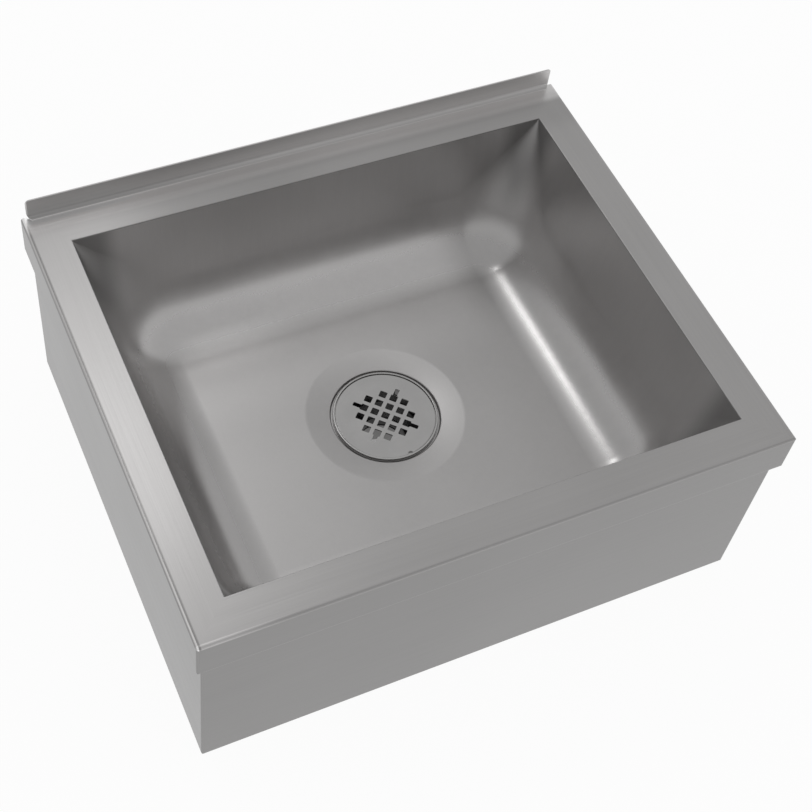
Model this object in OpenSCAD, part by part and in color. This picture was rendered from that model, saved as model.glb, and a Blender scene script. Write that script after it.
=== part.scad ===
// Floor-standing mop service sink: a deep-drawn bowl lapped under a mitred, folded rim,
// on four folded apron panels, with a strainer drain and a threaded pipe outlet below.
// +X is to the right, +Y is towards the wall behind, +Z is up.
// The origin is on the floor, under the middle of the rim.

/* [Overall] */
// Width over the rim, left to right
sink_w = 635; // [520:5:800]
// Depth over the rim, front to wall
sink_d = 533.4; // [430:0.2:700]
// Height of the rim's flat top above the floor
rim_h = 254; // [245:1:330]
// Thickness of the stainless sheet
sheet_t = 1.6; // [1.2:0.1:2]
// Inside radius of an ordinary fold in the sheet
fold_r = 1.6; // [1:0.1:2.2]
// Plan radius of the outer vertical corners
corner_r = 3.2; // [2:0.1:3.6]
// Radius of the blended edge round the opening
edge_r = 0.9; // [0.3:0.1:1.1]

/* [Rim] */
// Width of the deck along the front and both sides
deck_w = 41.3; // [36:0.1:60]
// Width of the deck along the back
back_deck_w = 46; // [40:0.5:70]
// Height of the skirt that hangs from the deck's outer edge
skirt_h = 50.8; // [25:0.2:90]
// How far the skirt stands out from the apron
overhang = 6.35; // [4.5:0.05:12]
// Height of the rear upturn above the deck
upturn_h = 25.4; // [15:0.2:60]
// Inside radius at the foot of the upturn
upturn_fold_r = 6; // [1.6:0.1:9]
// Radius of the upturn's two top corners
upturn_corner_r = 5; // [2:0.1:12]

/* [Apron] */
// Width of the in-turned flanges along the top and bottom of each panel
flange_w = 19; // [14:0.5:21]
// Leg width of the angle that backs each corner
post_w = 25.4; // [18:0.2:40]

/* [Bowl] */
// Depth of the bowl from the rim's top to its floor
bowl_depth = 157; // [120:0.2:160]
// Radius of the coves round the floor and up the corners
cove_r = 76.2; // [40:0.2:90]
// How far each side wall leans in on its way down to the cove
side_lean = 16; // [4:0.5:30]
// How far the front and back walls lean in on their way down to the cove
end_lean = 6.5; // [2:0.5:30]
// Width of the bowl's flange that laps under the deck
lap_w = 11; // [6:0.5:14]

/* [Drain recess] */
// How far the drain stands from the sink's centre, towards the wall
drain_y = 0; // [-20:0.5:20]
// Radius at which the floor turns down into the stamped recess
recess_r = 90; // [80:0.1:110]
// Drop of the recess's rounded outer shoulder
shoulder_drop = 0.28; // [0.1:0.02:0.6]
// Width of the recess's rounded outer shoulder
shoulder_w = 4; // [3:0.5:8]
// Depth of the dish where it meets the wall of the seat
dish_drop = 3.6; // [2:0.1:5]
// Radius of the flat seat in the middle of the recess
seat_r = 61.2; // [60.5:0.1:66]
// Depth of the seat below the bowl's floor
seat_drop = 8.4; // [7.5:0.1:12]
// Radius between the dish and the wall of the seat
seat_edge_r = 1.8; // [1.2:0.1:2]
// Radius of the hole in the seat
hole_r = 44.5; // [44:0.1:46]

/* [Drain body] */
// Radius of the drain's face flange
flange_r = 58.7; // [55:0.1:60]
// Thickness of the drain's face flange
face_t = 1.6; // [1.2:0.1:2.4]
// Height of the lip round the strainer, above the face
lip_h = 3.2; // [2:0.1:4]
// Width of the lip round the strainer
lip_w = 2.2; // [0.8:0.1:3]
// Outer radius of the barrel that passes through the bowl
barrel_r = 43; // [41:0.1:43.4]
// Wall of the barrel
barrel_t = 2; // [1.4:0.1:3]
// Length of the barrel below the face
barrel_len = 31; // [26:0.5:36]
// Height of the funnel that narrows the barrel to its neck
funnel_h = 9; // [5:0.5:12]
// Outer radius of the neck
neck_r = 34.5; // [33:0.1:38]
// Length of the neck
neck_len = 14; // [10:0.5:18]
// Inner radius of the waterway below the funnel
waterway_r = 26.25; // [20:0.05:28]

/* [Seals and nuts] */
// Thickness of the sealing ring under the face flange
seal_t = 0.8; // [0.5:0.1:1.5]
// Thickness of the rubber gasket under the bowl
gasket_t = 3.2; // [2:0.1:5]
// Thickness of the fibre friction ring
friction_t = 0.8; // [0.5:0.1:1.5]
// Outer radius of the gasket and its friction ring
gasket_r = 56; // [52:0.1:58]
// Height of the lock nut
lock_nut_h = 10; // [7:0.5:13]
// Outer radius of the lock nut's ring
lock_nut_r = 51; // [48:0.5:54]
// Number of wrench lugs round the lock nut
lock_lugs = 6; // [4:1:8]
// How far a wrench lug stands out
lug_out = 6; // [3:0.5:8]
// Width of a wrench lug
lug_w = 11; // [6:0.5:16]
// Thickness of the tailpiece washer
washer_t = 2.4; // [1.5:0.1:4]
// Height of the hexagonal coupling nut
coupling_h = 18; // [15:0.5:22]
// Width of the coupling nut across its flats
coupling_af = 78; // [76:0.5:84]
// Thickness of the coupling nut's lower lip
coupling_lip_t = 3; // [2:0.1:4]
// Radial gap between a nut and the thread it runs on
thread_gap = 0.3; // [0.15:0.05:0.5]

/* [Outlet] */
// Outer radius of the outlet pipe: half of 60.325, the size of 2 in iron pipe
outlet_r = 30.1625; // [29.5:0.0025:32]
// Height of the outlet's end above the floor
outlet_z = 6; // [3:0.5:10]
// Thickness of the flange on top of the tailpiece
tail_flange_t = 2.4; // [1.5:0.1:3.5]
// How much slimmer the tailpiece is inside the coupling nut
tail_relief = 0.6; // [0.3:0.1:1]

/* [Strainer] */
// Thickness of the strainer plate
strainer_t = 1.6; // [1.2:0.1:2]
// Gap between the strainer's edge and the lip round it
strainer_gap = 0.8; // [0.4:0.1:1.5]
// Gap under the strainer, where it rests on the face
strainer_lift_gap = 0.3; // [0.2:0.05:0.5]
// Spacing of the square holes
hole_pitch = 12.7; // [12:0.05:13]
// Side of a square hole
hole_side = 8.3; // [5:0.1:9]
// Width of a spring leg
leg_w = 5; // [3:0.5:6]
// Thickness of a spring leg
leg_t = 1; // [0.8:0.1:1.2]
// Length of a spring leg below the plate
leg_len = 17; // [10:0.5:22]
// How far a spring leg bulges at its snap
leg_bulge = 0.9; // [0.4:0.1:1]
// Gap between a leg's snap and the barrel
leg_gap = 0.4; // [0.3:0.1:0.8]
// Radius of the pry notch in the strainer's edge
notch_r = 3; // [2:0.5:5]

/* [Hidden] */

$fn = 96;
// Segments in a fold, in a blended edge, in a quarter of a cove and in each recess curve
fold_steps = 6;
edge_steps = 4;
cove_steps = 14;
step_steps = 6;
// How far a cutter runs past the face that it cuts
past = 1;

// Plan sizes of the rim and its opening
half_w = sink_w/2;
half_d = sink_d/2;
open_x = half_w - deck_w;
open_front = -half_d + deck_w;
open_back = half_d - back_deck_w;
open_mid = (open_front + open_back)/2;
open_half_d = (open_back - open_front)/2;

// Plan sizes of the apron: its back is flush with the rim, the other sides stand in
apron_x = half_w - overhang;
apron_front_y = -half_d + overhang;
apron_back_y = half_d;
fold_out = fold_r + sheet_t;

// Levels
deck_under = rim_h - sheet_t;
floor_z = rim_h - bowl_depth;
cove_z = floor_z + cove_r;
seat_z = floor_z - seat_drop;
seat_under = seat_z - sheet_t;
face_under = seat_z + seal_t;
face_z = face_under + face_t;
lip_z = face_z + lip_h;
funnel_z = face_z - barrel_len;
neck_z = funnel_z - funnel_h;
neck_end = neck_z - neck_len;
gasket_z = seat_under - gasket_t;
friction_z = gasket_z - friction_t;
lock_z = friction_z - lock_nut_h;
washer_z = neck_end - washer_t;
tail_z = washer_z - tail_flange_t;
coupling_z = tail_z - coupling_lip_t;
strainer_z = face_z + strainer_lift_gap;

// Plan places of the cove centres
cove_x = open_x - side_lean - cove_r;
cove_y = open_half_d - end_lean - cove_r;

// The strainer
lip_r = flange_r - lip_w;
strainer_r = lip_r - strainer_gap;
grid_turn = 45;
grid_reach = 2;
leg_r = barrel_r - barrel_t - leg_gap - leg_bulge - leg_t;

steel = [0.62, 0.61, 0.61];
bright_steel = [0.74, 0.74, 0.75];

// ---- Folded sheet ----

// One face of a folded strip, from point p at heading a. legs lists [run, turn, radius];
// the last turn is 0. side is 1 for the left face and -1 for the right face.
function strip_face(p, a, legs, side, i = 0) =
    let (
        ahead = [cos(a), sin(a)],
        left = [-sin(a), cos(a)],
        run = legs[i][0],
        turn = legs[i][1],
        end = p + run*ahead)
    turn == 0 ? [end + side*left*sheet_t/2] :
    let (
        way = sign(turn),
        mid_r = legs[i][2] + sheet_t/2,
        centre = end + way*left*mid_r,
        from = a - way*90,
        face_r = mid_r - way*side*sheet_t/2,
        bend = [for (k = [0:fold_steps])
            let (b = from + turn*k/fold_steps) centre + face_r*[cos(b), sin(b)]],
        next = centre + mid_r*[cos(from + turn), sin(from + turn)])
    concat(bend, strip_face(next, a + turn, legs, side, i + 1));

function reversed(v) = [for (i = [len(v) - 1:-1:0]) v[i]];

// The outline of a strip folded from p on its mid-line, first heading outwards.
// nose is the radius of its upper starting edge.
function strip(p, legs, nose = 0) =
    let (
        off = [0, sheet_t/2],
        start = nose == 0 ? [p + off] : [for (k = [0:edge_steps])
            let (a = 90*k/edge_steps) p + off + nose*[1 - cos(a), sin(a) - 1]])
    concat(start, strip_face(p, 0, legs, 1),
        reversed(concat([p - off], strip_face(p, 0, legs, -1))));

// Draws a section (outwards, up) along one side: back 0, left 90, front 180, right -90
module along(turn, length) {
    rotate([0, 0, turn])
        rotate([90, 0, 90])
            linear_extrude(length, center = true)
                children();
}

// Everything above and below a plan outline, which mitres the ends of a strip
module over_plan(outline) {
    translate([0, 0, -past])
        linear_extrude(rim_h + upturn_h + 2*past)
            polygon(outline);
}

// What rounds one outer vertical corner at [x, y]; sx and sy point out of the sink
module corner_cutter(x, y, sx, sy) {
    translate([x - sx*corner_r, y - sy*corner_r, -past])
        difference() {
            translate([sx > 0 ? 0 : -corner_r - past, sy > 0 ? 0 : -corner_r - past, 0])
                cube([corner_r + past, corner_r + past, rim_h + 2*past]);
            translate([0, 0, -past])
                cylinder(r = corner_r, h = rim_h + 4*past);
        }
}

// ---- Rim ----

// Deck, skirt and the return that closes on the apron; out is the skirt's outer face
module rim_section(out) {
    polygon(strip([out - deck_w, rim_h - sheet_t/2], [
        [deck_w - fold_out, -90, fold_r],
        [skirt_h - 2*fold_out, -90, fold_r],
        [overhang - fold_out, 0, 0]], edge_r));
}

module upturn_section() {
    polygon(strip([open_back, rim_h - sheet_t/2], [
        [back_deck_w - upturn_fold_r - sheet_t, 90, upturn_fold_r],
        [upturn_h - upturn_fold_r, 0, 0]], edge_r));
}

module rim_front() {
    color(steel)
        difference() {
            intersection() {
                along(180, sink_w) rim_section(half_d);
                over_plan([
                    [-half_w, -half_d], [half_w, -half_d],
                    [open_x, open_front], [-open_x, open_front]]);
            }
            for (s = [-1, 1]) corner_cutter(s*half_w, -half_d, s, -1);
        }
}

// The side strips run to the back edge, round the ends of the upturn
module rim_side(s) {
    color(steel)
        difference() {
            intersection() {
                along(-90*s, sink_d) rim_section(half_w);
                over_plan([
                    [s*half_w, -half_d], [s*half_w, half_d],
                    [s*apron_x, half_d], [s*open_x, open_back], [s*open_x, open_front]]);
            }
            corner_cutter(s*half_w, -half_d, s, -1);
        }
}

module rim_left() { rim_side(-1); }

module rim_right() { rim_side(1); }

module rim_back() {
    top = rim_h + upturn_h;
    color(steel)
        difference() {
            intersection() {
                along(0, sink_w) upturn_section();
                over_plan([
                    [-open_x, open_back], [open_x, open_back],
                    [apron_x, half_d], [-apron_x, half_d]]);
            }
            for (s = [-1, 1])
                translate([s*(apron_x - upturn_corner_r), half_d + past, top - upturn_corner_r])
                    rotate([90, 0, 0])
                        difference() {
                            translate([s > 0 ? 0 : -upturn_corner_r - past, 0, 0])
                                cube([upturn_corner_r + past, upturn_corner_r + past, sheet_t + 2*past]);
                            translate([0, 0, -past])
                                cylinder(r = upturn_corner_r, h = sheet_t + 4*past);
                        }
        }
}

// ---- Apron ----

// A panel with in-turned flanges under the deck and on the floor; out is its outer face
module apron_section(out) {
    polygon(strip([out - flange_w, deck_under - sheet_t/2], [
        [flange_w - fold_out, -90, fold_r],
        [deck_under - 2*fold_out, -90, fold_r],
        [flange_w - fold_out, 0, 0]]));
}

module apron_front() {
    m = flange_w + past;
    color(steel)
        difference() {
            intersection() {
                along(180, sink_w) apron_section(-apron_front_y);
                over_plan([
                    [-apron_x, apron_front_y], [apron_x, apron_front_y],
                    [apron_x - m, apron_front_y + m], [m - apron_x, apron_front_y + m]]);
            }
            for (s = [-1, 1]) corner_cutter(s*apron_x, apron_front_y, s, -1);
        }
}

module apron_back() {
    m = flange_w + past;
    color(steel)
        difference() {
            intersection() {
                along(0, sink_w) apron_section(apron_back_y);
                over_plan([
                    [-apron_x, apron_back_y], [apron_x, apron_back_y],
                    [apron_x - m, apron_back_y - m], [m - apron_x, apron_back_y - m]]);
            }
            for (s = [-1, 1]) corner_cutter(s*apron_x, apron_back_y, s, 1);
        }
}

module apron_side(s) {
    m = flange_w + past;
    color(steel)
        difference() {
            intersection() {
                along(-90*s, sink_d) apron_section(apron_x);
                over_plan([
                    [s*apron_x, apron_front_y], [s*apron_x, apron_back_y],
                    [s*(apron_x - m), apron_back_y - m], [s*(apron_x - m), apron_front_y + m]]);
            }
            corner_cutter(s*apron_x, apron_front_y, s, -1);
            corner_cutter(s*apron_x, apron_back_y, s, 1);
        }
}

module apron_left() { apron_side(-1); }

module apron_right() { apron_side(1); }

// An angle that backs the corner at [x, y], between the folds of the flanges.
// sx and sy point out of the sink.
module corner_post(x, y, sx, sy) {
    inner = post_w - fold_out;
    color(steel)
        translate([x - sx*sheet_t, y - sy*sheet_t, fold_out])
            mirror([sx < 0 ? 1 : 0, 0, 0])
                mirror([0, sy < 0 ? 1 : 0, 0])
                    linear_extrude(deck_under - 2*fold_out)
                        translate([-post_w, -sheet_t/2])
                            polygon(strip([0, 0], [[inner, -90, fold_r], [inner, 0, 0]]));
}

module post_front_left() { corner_post(-apron_x, apron_front_y, -1, -1); }

module post_front_right() { corner_post(apron_x, apron_front_y, 1, -1); }

module post_back_left() { corner_post(-apron_x, apron_back_y, -1, 1); }

module post_back_right() { corner_post(apron_x, apron_back_y, 1, 1); }

// ---- Bowl ----

// Lower half of a ball, with points on its equator and at its foot
module cove_ball(r) {
    rotate_extrude($fn = 4*cove_steps)
        polygon(concat([[0, 0]], [for (k = [0:cove_steps])
            let (a = 90*k/cove_steps) r*[cos(a), -sin(a)]]));
}

// The bowl's form, grown outwards by grow: a sharp-cornered opening that sinks into
// large coves. up is the thickness of the slab at its top.
module bowl_form(grow, z, up) {
    hull() {
        translate([-open_x - grow, open_front - grow, z])
            cube([2*(open_x + grow), 2*(open_half_d + grow), up]);
        for (sx = [-1, 1])
            for (sy = [-1, 1])
                translate([sx*cove_x, open_mid + sy*cove_y, cove_z])
                    cove_ball(cove_r + grow);
    }
}

// A curve from [r, z] a to b that starts level and turns down
function turn_line(a, b) = [for (k = [0:step_steps])
    let (s = k/step_steps) [a[0] + (b[0] - a[0])*s, a[1] + (b[1] - a[1])*s*s]];

// A dish from [r, z] a to b, half as steep again at b as at a
function dish_line(a, b) = [for (k = [1:step_steps])
    let (s = k/step_steps) [a[0] + (b[0] - a[0])*s, a[1] + (b[1] - a[1])*s*(4 + s)/5]];

// A quarter turn of radius r1 from level to straight down, round the corner at [r, z]
function edge_line(corner, r1) = [for (k = [1:edge_steps])
    let (a = 90*k/edge_steps) corner + r1*[1 - sin(a), cos(a) - 1]];

// The recess's upper face, from its rim in to the wall of its seat
shoulder_foot = [recess_r - shoulder_w, floor_z - shoulder_drop];
dish_foot = [seat_r + seat_edge_r, floor_z - dish_drop];
dish_face = concat(
    turn_line([recess_r, floor_z], shoulder_foot),
    dish_line(shoulder_foot, dish_foot));

module recess_cut() {
    rotate_extrude()
        polygon(concat([[0, floor_z + past], [recess_r, floor_z + past]], dish_face,
            edge_line([seat_r, dish_foot[1]], seat_edge_r), [[seat_r, seat_z], [0, seat_z]]));
}

module recess_pan() {
    outer = seat_r + sheet_t;
    rotate_extrude()
        polygon(concat([[0, floor_z - sheet_t/2], [recess_r, floor_z - sheet_t/2]],
            [for (p = dish_face) if (p[0] > outer) p - [0, sheet_t]],
            [[outer, dish_foot[1] - sheet_t], [outer, seat_under], [0, seat_under]]));
}

module drawn_bowl() {
    color(steel)
        difference() {
            union() {
                bowl_form(sheet_t, deck_under - sheet_t, sheet_t);
                translate([-open_x - lap_w, open_front - lap_w, deck_under - sheet_t])
                    cube([2*(open_x + lap_w), 2*(open_half_d + lap_w), sheet_t]);
                translate([0, drain_y, 0]) recess_pan();
            }
            bowl_form(0, deck_under, past);
            translate([0, drain_y, 0]) {
                recess_cut();
                translate([0, 0, seat_under - past])
                    cylinder(r = hole_r, h = seat_drop + 2*past);
            }
        }
}

// ---- Drain ----

// A flat ring from radius inner to outer, between z and z + h
module ring(inner, outer, z, h) {
    translate([0, drain_y, z])
        rotate_extrude()
            translate([inner, 0])
                square([outer - inner, h]);
}

module drain_body() {
    bore = barrel_r - barrel_t;
    color(bright_steel)
        translate([0, drain_y, 0])
            rotate_extrude()
                polygon([
                    [lip_r, lip_z], [flange_r, lip_z], [flange_r, face_under],
                    [barrel_r, face_under], [barrel_r, funnel_z], [neck_r, neck_z],
                    [neck_r, neck_end], [waterway_r, neck_end], [waterway_r, neck_z],
                    [bore, funnel_z + barrel_t], [bore, face_z], [lip_r, face_z]]);
}

module face_seal() {
    color([0.85, 0.84, 0.80])
        ring(hole_r, lip_r, seat_z, seal_t);
}

module sink_gasket() {
    color([0.12, 0.12, 0.12])
        ring(barrel_r + thread_gap, gasket_r, gasket_z, gasket_t);
}

module friction_ring() {
    color([0.62, 0.48, 0.33])
        ring(barrel_r + thread_gap, gasket_r, friction_z, friction_t);
}

module lock_nut() {
    root = (barrel_r + lock_nut_r)/2;
    color([0.72, 0.62, 0.38])
        difference() {
            union() {
                ring(barrel_r + thread_gap, lock_nut_r, lock_z, lock_nut_h);
                for (k = [0:lock_lugs - 1])
                    translate([0, drain_y, lock_z])
                        rotate([0, 0, 360*k/lock_lugs])
                            translate([root, -lug_w/2, 0])
                                cube([lock_nut_r + lug_out - root, lug_w, lock_nut_h]);
            }
            // A step under the ring leaves the lugs standing proud of it
            ring(lock_nut_r, lock_nut_r + lug_out + past, lock_z - past, lock_nut_h/3 + past);
        }
}

module tail_washer() {
    color([0.15, 0.15, 0.15])
        ring(waterway_r, neck_r - thread_gap, washer_z, washer_t);
}

module coupling_nut() {
    inner = neck_r + thread_gap;
    color([0.72, 0.62, 0.38])
        translate([0, drain_y, coupling_z])
            difference() {
                // The hexagon, with its corners turned down to a cone at both ends
                intersection() {
                    cylinder(r = coupling_af/2/cos(30), h = coupling_h, $fn = 6);
                    rotate_extrude()
                        polygon([
                            [0, 0], [coupling_af/2, 0], [coupling_af/2/cos(30) + past, coupling_af/10],
                            [coupling_af/2/cos(30) + past, coupling_h - coupling_af/10],
                            [coupling_af/2, coupling_h], [0, coupling_h]]);
                }
                translate([0, 0, coupling_lip_t])
                    cylinder(r = inner, h = coupling_h);
                translate([0, 0, -past])
                    cylinder(r = outlet_r + thread_gap, h = coupling_h);
            }
}

module tailpiece() {
    slim = outlet_r - tail_relief;
    color(steel)
        translate([0, drain_y, 0])
            rotate_extrude()
                polygon([
                    [waterway_r, outlet_z], [outlet_r, outlet_z], [outlet_r, coupling_z],
                    [slim, coupling_z], [slim, tail_z], [neck_r - thread_gap, tail_z],
                    [neck_r - thread_gap, washer_z], [waterway_r, washer_z]]);
}

// ---- Strainer ----

// One lanced leg, from the plate down to its snap
module spring_leg() {
    drop = -leg_len;
    rotate([90, 0, 0])
        linear_extrude(leg_w, center = true)
            polygon([
                [leg_r, strainer_t/2], [leg_r, drop*0.55], [leg_r + leg_bulge, drop*0.75],
                [leg_r, drop], [leg_r + leg_t, drop], [leg_r + leg_bulge + leg_t, drop*0.75],
                [leg_r + leg_t, drop*0.55], [leg_r + leg_t, strainer_t/2]]);
}

module strainer_plate() {
    edge = strainer_t/2;
    notch_turn = -84;
    slot_from = grid_reach*hole_pitch;
    color(bright_steel)
        translate([0, drain_y, strainer_z])
            difference() {
                union() {
                    rotate_extrude()
                        polygon(concat([[0, 0], [strainer_r, 0]], [for (k = [0:4])
                            let (a = 90*k/4) [strainer_r - edge + edge*cos(a), edge + edge*sin(a)]],
                            [[0, strainer_t]]));
                    for (k = [0:3]) rotate([0, 0, grid_turn + 90*k]) spring_leg();
                }
                rotate([0, 0, grid_turn])
                    for (i = [-grid_reach:grid_reach])
                        for (j = [-grid_reach:grid_reach])
                            if (abs(i) + abs(j) < 2*grid_reach)
                                translate([i*hole_pitch - hole_side/2, j*hole_pitch - hole_side/2, -past])
                                    cube([hole_side, hole_side, strainer_t + 2*past]);
                // The openings that the legs were bent down from
                for (k = [0:3])
                    rotate([0, 0, grid_turn + 90*k])
                        translate([slot_from, -leg_w/2, -past])
                            cube([leg_r - slot_from, leg_w, strainer_t + 2*past]);
                rotate([0, 0, notch_turn])
                    translate([strainer_r, 0, -past])
                        cylinder(r = notch_r, h = strainer_t + 2*past, $fn = 32);
            }
}

drawn_bowl();
rim_front();
rim_left();
rim_right();
rim_back();
apron_front();
apron_left();
apron_right();
apron_back();
post_front_left();
post_front_right();
post_back_left();
post_back_right();
drain_body();
face_seal();
sink_gasket();
friction_ring();
lock_nut();
tail_washer();
coupling_nut();
tailpiece();
strainer_plate();
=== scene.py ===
"""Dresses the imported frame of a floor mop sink: a smooth drawn bowl, a turned drain with its
nuts, a pierced strainer, satin steel all over, and a plain pale stage."""

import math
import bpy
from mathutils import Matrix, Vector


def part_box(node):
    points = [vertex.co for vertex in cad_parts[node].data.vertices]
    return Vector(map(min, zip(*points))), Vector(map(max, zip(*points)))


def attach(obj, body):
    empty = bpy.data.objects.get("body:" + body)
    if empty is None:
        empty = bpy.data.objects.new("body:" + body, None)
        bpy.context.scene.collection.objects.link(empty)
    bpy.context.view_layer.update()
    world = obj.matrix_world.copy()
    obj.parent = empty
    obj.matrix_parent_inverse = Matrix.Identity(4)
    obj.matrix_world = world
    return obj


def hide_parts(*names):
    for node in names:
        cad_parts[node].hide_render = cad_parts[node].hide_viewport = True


bl_info = {
    "name": "Floor mop sink",
    "version": (1, 0, 0),
    "blender": (4, 5, 0),
    "location": "View3D > Sidebar > Mop sink",
    "description": "Dresses the frame of a steel floor mop sink and its strainer drain",
    "category": "Add Mesh",
}

import bmesh
import bpy
from bpy.props import FloatProperty, FloatVectorProperty, PointerProperty
from mathutils import Vector

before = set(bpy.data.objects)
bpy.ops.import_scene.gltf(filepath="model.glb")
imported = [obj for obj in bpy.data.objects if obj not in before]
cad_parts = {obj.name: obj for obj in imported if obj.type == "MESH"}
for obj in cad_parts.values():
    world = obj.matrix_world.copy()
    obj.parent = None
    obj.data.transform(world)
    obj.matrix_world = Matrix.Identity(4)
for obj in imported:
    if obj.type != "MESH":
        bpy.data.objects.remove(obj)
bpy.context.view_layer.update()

MM = 0.001
SAME = 1e-6  # Metres within which two places count as the same
CLOSE = 1e-5  # The same, for places that rounding has moved a little
TURN_STEPS = 128  # Steps round a turned piece
BALL_STEPS = 128  # Steps round a corner ball of the bowl
PUNCH_DEPTH = 6 * MM  # Length of the tools that pierce the strainer


def low(node):
    """The lowest corner of a CAD node's box."""
    return Vector(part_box(node)[0])


def high(node):
    """The highest corner of a CAD node's box."""
    return Vector(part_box(node)[1])


# ---- Sizes and colours a user would change ----


def length(name, description, default):
    """A size in metres."""
    return FloatProperty(
        name=name, description=description, default=default, unit="LENGTH", precision=5
    )


def colour(name, description, default):
    """A finish's colour."""
    return FloatVectorProperty(
        name=name, description=description, default=default, subtype="COLOR", min=0, max=1
    )


class BowlSizes(bpy.types.PropertyGroup):
    """Sizes of the drawn bowl and the recess stamped in its floor."""

    sheet: length("Sheet", "Thickness of the bowl's sheet", 1.6 * MM)
    lap: length("Lap", "Width of the flange under the deck", 11 * MM)
    depth: length("Depth", "From the underside of the deck to the bowl's floor", 155.4 * MM)
    cove: length("Cove", "Radius round the floor and up the corners", 76.2 * MM)
    side_lean: length("Side lean", "How far the side walls lean in", 16 * MM)
    end_lean: length("End lean", "How far the front and back walls lean in", 6.5 * MM)
    recess: length("Recess", "Radius at which the floor turns down", 90 * MM)
    shoulder_drop: length("Shoulder drop", "Drop of the rounded outer shoulder", 0.28 * MM)
    shoulder_width: length("Shoulder width", "Width of the rounded outer shoulder", 4 * MM)
    dish_drop: length("Dish drop", "Depth of the dish where the seat's wall starts", 3.6 * MM)
    seat: length("Seat", "Radius of the flat seat", 61.2 * MM)
    seat_drop: length("Seat drop", "Depth of the seat below the floor", 8.4 * MM)
    seat_edge: length("Seat edge", "Radius between the dish and the seat's wall", 1.8 * MM)
    hole: length("Hole", "Radius of the hole in the seat", 44.5 * MM)


class DrainSizes(bpy.types.PropertyGroup):
    """Sizes of the drain body and the parts that hold it."""

    flange: length("Flange", "Outer radius of the face flange", 58.7 * MM)
    lip: length("Lip", "Width of the lip round the strainer", 2.2 * MM)
    lip_height: length("Lip height", "Height of the lip above the face", 3.2 * MM)
    face: length("Face", "Thickness of the face flange", 1.6 * MM)
    barrel: length("Barrel", "Outer radius of the barrel", 43 * MM)
    wall: length("Wall", "Wall of the barrel", 2 * MM)
    barrel_length: length("Barrel length", "Length of the barrel below the face", 31 * MM)
    funnel: length("Funnel", "Height of the funnel", 9 * MM)
    neck: length("Neck", "Outer radius of the neck", 34.5 * MM)
    waterway: length("Waterway", "Inner radius below the funnel", 26.25 * MM)
    thread: length("Thread", "Pitch of the drawn threads", 2 * MM)
    pipe: length("Pipe", "Outer radius of the outlet pipe", 30.1625 * MM)


class StrainerSizes(bpy.types.PropertyGroup):
    """Sizes of the pierced strainer plate."""

    pitch: length("Pitch", "Spacing of the square holes", 12.7 * MM)
    hole: length("Hole", "Side of a square hole", 8.3 * MM)
    leg: length("Leg", "Width of a spring leg", 5 * MM)
    leg_place: length("Leg place", "Radius at a spring leg's inner face", 38.7 * MM)
    notch: length("Notch", "Radius of the pry notch", 3 * MM)


class FinishColours(bpy.types.PropertyGroup):
    """Base colours of the finishes."""

    steel: colour("Satin steel", "Bowl, rim and apron", (0.46, 0.452, 0.449))
    bright: colour("Bright steel", "Drain, strainer and outlet", (0.50, 0.494, 0.490))
    brass: colour("Brass", "Nuts", (0.50, 0.37, 0.16))
    rubber: colour("Rubber", "Gasket and washer", (0.022, 0.022, 0.024))
    sealant: colour("Sealing ring", "Ring under the drain's face", (0.50, 0.47, 0.40))
    fibre: colour("Fibre", "Friction ring", (0.16, 0.085, 0.045))
    floor: colour("Floor", "The pale floor", (0.93, 0.93, 0.93))


# ---- Hand tools ----


def put_down():
    """Leaves edit mode with nothing selected."""
    if bpy.context.object and bpy.context.object.mode != "OBJECT":
        bpy.ops.object.mode_set(mode="OBJECT")
    bpy.ops.object.select_all(action="DESELECT")


def take_up(*pieces):
    """Selects the pieces alone and makes the first one active."""
    put_down()
    for piece in pieces:
        piece.select_set(True)
    bpy.context.view_layer.objects.active = pieces[0]


def pick(kind, rule):
    """In edit mode: selects only the verts, edges or faces that the rule holds for."""
    mesh = bpy.context.object.data
    bpy.ops.mesh.select_mode(type=kind)
    bpy.ops.mesh.select_all(action="DESELECT")
    work = bmesh.from_edit_mesh(mesh)
    parts = {"VERT": work.verts, "EDGE": work.edges, "FACE": work.faces}[kind]
    for part in parts:
        if rule(part):
            part.select_set(True)
    work.select_flush_mode()
    bmesh.update_edit_mesh(mesh)


def middle(part):
    """Where an edge or a face is."""
    return sum((v.co for v in part.verts), Vector()) / len(part.verts)


def settle(name, body, slot, *nodes, angle=35):
    """Finishes the active piece: its place in its mesh, smooth shading, its name and its body, and
    hides the CAD nodes it stands for.
    """
    piece = bpy.context.object
    take_up(piece)
    bpy.ops.object.transform_apply(location=True, rotation=True, scale=True)
    bpy.ops.object.shade_smooth_by_angle(angle=math.radians(angle))
    piece.name = name
    piece.data.name = name
    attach(piece, body)
    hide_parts(*nodes)
    put_down()


def modify(piece, kind, **settings):
    """Adds a modifier and applies it."""
    take_up(piece)
    bpy.ops.object.modifier_add(type=kind)
    modifier = piece.modifiers[-1]
    for key, value in settings.items():
        setattr(modifier, key, value)
    bpy.ops.object.modifier_apply(modifier=modifier.name)


def cut(piece, tool, operation="DIFFERENCE"):
    """Cuts, joins or trims a piece with a tool, which is then thrown away."""
    modify(piece, "BOOLEAN", object=tool, operation=operation, solver="EXACT")
    bpy.data.objects.remove(tool)


def outward():
    """In object mode: turns the active closed piece's faces outwards."""
    bpy.ops.object.mode_set(mode="EDIT")
    bpy.ops.mesh.select_all(action="SELECT")
    bpy.ops.mesh.remove_doubles(threshold=SAME)
    bpy.ops.mesh.normals_make_consistent(inside=False)
    bpy.ops.object.mode_set(mode="OBJECT")


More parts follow.
